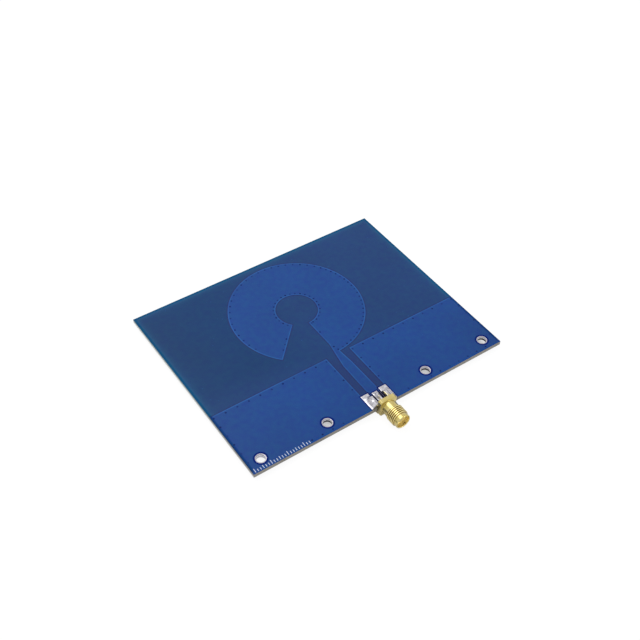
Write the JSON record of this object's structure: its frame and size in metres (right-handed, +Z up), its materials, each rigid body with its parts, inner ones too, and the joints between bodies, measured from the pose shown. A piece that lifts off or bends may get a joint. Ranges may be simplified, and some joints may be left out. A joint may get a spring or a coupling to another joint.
{
  "type": "printed circuit board antenna",
  "caption": "Flat blue printed circuit board antenna with an open ring radiator, a straight feed line, mounting holes along one edge and a gold threaded coaxial edge jack.",
  "frame": {"origin": "midway between the two outer mounting holes, on the board's bottom face", "axes": "+X along the connector edge, +Y from that edge across the board to the back, +Z up out of the board's top face"},
  "size_m": [0.1, 0.0879, 0.0064],
  "materials": {
    "glass_laminate": "satin",
    "copper": "satin",
    "blue_mask": "gloss",
    "tin_plate": "satin",
    "gold_plate": "polished",
    "contact_gold": "polished",
    "insulator": "matte",
    "solder": "gloss"
  },
  "bodies": {
    "root": {"laminate": "glass_laminate", "connector_body": "gold_plate", "connector_insulator": "insulator", "centre_contact": "contact_gold", "radiator_foil": "copper", "left_ground_foil": "copper", "right_ground_foil": "copper", "underside_radiator_foil": "copper", "underside_ground_foil": "copper", "radiator_vias": "copper", "left_ground_vias": "copper", "right_ground_vias": "copper", "top_solder_mask": "blue_mask", "underside_solder_mask": "blue_mask", "outer_left_hole_plating": "tin_plate", "inner_left_hole_plating": "tin_plate", "inner_right_hole_plating": "tin_plate", "outer_right_hole_plating": "tin_plate", "signal_solder": "solder", "left_top_solder": "solder", "right_top_solder": "solder", "left_underside_solder": "solder", "right_underside_solder": "solder"}
  },
  "joints": []
}
